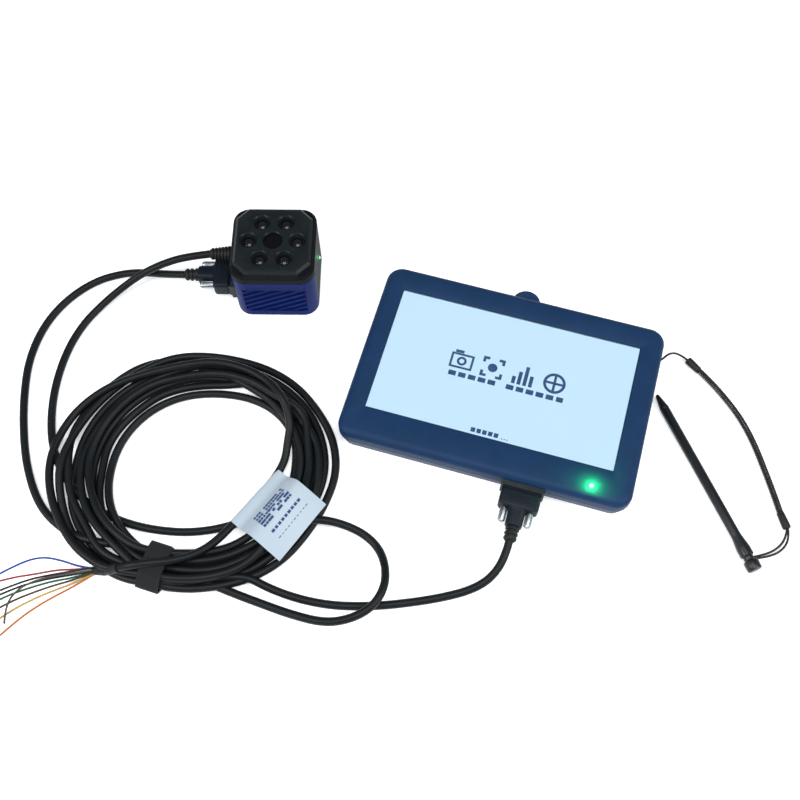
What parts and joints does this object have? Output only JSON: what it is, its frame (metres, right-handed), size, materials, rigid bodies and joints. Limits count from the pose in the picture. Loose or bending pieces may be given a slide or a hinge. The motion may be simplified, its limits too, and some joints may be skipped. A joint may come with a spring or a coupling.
{
  "type": "machine vision camera",
  "caption": "square machine vision camera head with ring of lights, joined by a coiled cable to a tablet display with stylus; second cable ends in bare coloured wires",
  "frame": {"origin": "centre of the camera head's flat rear face, on the table the kit lies on", "axes": "+Z out of the camera's front window and up from the table, +X from the camera head towards the display, -X the head's plug side"},
  "size_m": [0.4783, 0.2682, 0.0486],
  "materials": {
    "blue_anodised": "satin blue finish on a cast heat sink",
    "black_rubber": "matt",
    "black_plastic": "fine satin grain",
    "black_metal": "satin black finish on aluminium",
    "coated_glass": "purple coated",
    "window_glass": "dark tinted",
    "clear_lens": "smoked moulded lens over each LED",
    "led_phosphor": "yellow phosphor",
    "circuit_board": "green solder mask",
    "sensor_glass": "dark",
    "bright_steel": "bright",
    "plated_steel": "nickel plated",
    "soft_black": "satin",
    "green_light": "lit green",
    "display_plastic": "satin navy blue",
    "lcd_backlight": "lit pale blue-white",
    "touch_glass": "clear",
    "cable_jacket": "smooth satin jacket",
    "strap_fabric": "woven hook and loop",
    "label_film": "satin white film",
    "tether_jacket": "smooth",
    "stylus_plastic": "polished",
    "wire_black": "smooth",
    "wire_blue": "smooth",
    "wire_brown": "smooth",
    "wire_green": "smooth",
    "wire_grey": "smooth",
    "wire_orange": "smooth",
    "wire_red": "smooth",
    "wire_yellow": "smooth"
  },
  "bodies": {
    "kit": {"board_posts": "bright_steel", "cable_coil": "cable_jacket", "cable_label": "label_film", "coil_strap": "strap_fabric", "data_cable_display_run": "cable_jacket", "data_cable_head_run": "cable_jacket", "display_board": "circuit_board", "display_plug_hood": "black_plastic", "display_plug_relief": "soft_black", "display_plug_shell": "plated_steel", "display_socket": "black_metal", "display_status_light": "green_light", "front_bezel": "display_plastic", "front_plate": "black_metal", "head_housing": "black_plastic", "head_plug_hood": "black_plastic", "head_plug_relief": "soft_black", "head_plug_shell": "plated_steel", "head_screws": "bright_steel", "head_seal": "black_rubber", "head_socket": "black_metal", "head_status_light": "green_light", "heat_sink_base": "blue_anodised", "image_sensor": "sensor_glass", "io_cable_head_run": "cable_jacket", "io_cable_loop": "cable_jacket", "io_cable_relief": "soft_black", "io_end_sleeve": "cable_jacket", "lcd_panel": "lcd_backlight", "led_board": "circuit_board", "led_chips": "led_phosphor", "led_lenses": "clear_lens", "lens_holder": "black_plastic", "lens_window": "window_glass", "processor_board": "circuit_board", "rear_shell": "display_plastic", "sensor_board": "circuit_board", "shell_screws": "bright_steel", "stylus": "stylus_plastic", "tether_coil": "tether_jacket", "tether_cord": "tether_jacket", "tether_ferrules": "soft_black", "tether_loop": "tether_jacket", "touch_panel": "touch_glass", "wire_black": "wire_black", "wire_black_second": "wire_black", "wire_blue": "wire_blue", "wire_brown": "wire_brown", "wire_green": "wire_green", "wire_grey": "wire_grey", "wire_orange": "wire_orange", "wire_red": "wire_red", "wire_yellow": "wire_yellow"},
    "head_screw_upper": {"head_plug_screw_upper": "plated_steel"},
    "head_screw_lower": {"head_plug_screw_lower": "plated_steel"},
    "display_screw_left": {"display_plug_screw_left": "plated_steel"},
    "display_screw_right": {"display_plug_screw_right": "plated_steel"},
    "lens": {"lens_barrel": "black_metal", "lens_glass": "coated_glass"}
  },
  "joints": [
    {"name": "head_screw_upper_turn", "type": "hinge", "parent": "kit", "child": "head_screw_upper", "pos_m": [-0.04, 0.0033, 0.014], "axis": [-1, 0, 0], "range_deg": [0, 1980]},
    {"name": "head_screw_lower_turn", "type": "hinge", "parent": "kit", "child": "head_screw_lower", "pos_m": [-0.04, -0.0123, 0.014], "axis": [-1, 0, 0], "range_deg": [0, 1980]},
    {"name": "display_screw_left_turn", "type": "hinge", "parent": "kit", "child": "display_screw_left", "pos_m": [0.14822, -0.14851, 0.011], "axis": [-0.2672, -0.9636, 0], "range_deg": [0, 1980]},
    {"name": "display_screw_right_turn", "type": "hinge", "parent": "kit", "child": "display_screw_right", "pos_m": [0.16325, -0.15268, 0.011], "axis": [-0.2672, -0.9636, 0], "range_deg": [0, 1980]},
    {"name": "lens_focus_turn", "type": "hinge", "parent": "kit", "child": "lens", "pos_m": [0, 0, 0.035], "axis": [0, 0, 1], "range_deg": [-180, 180]}
  ]
}
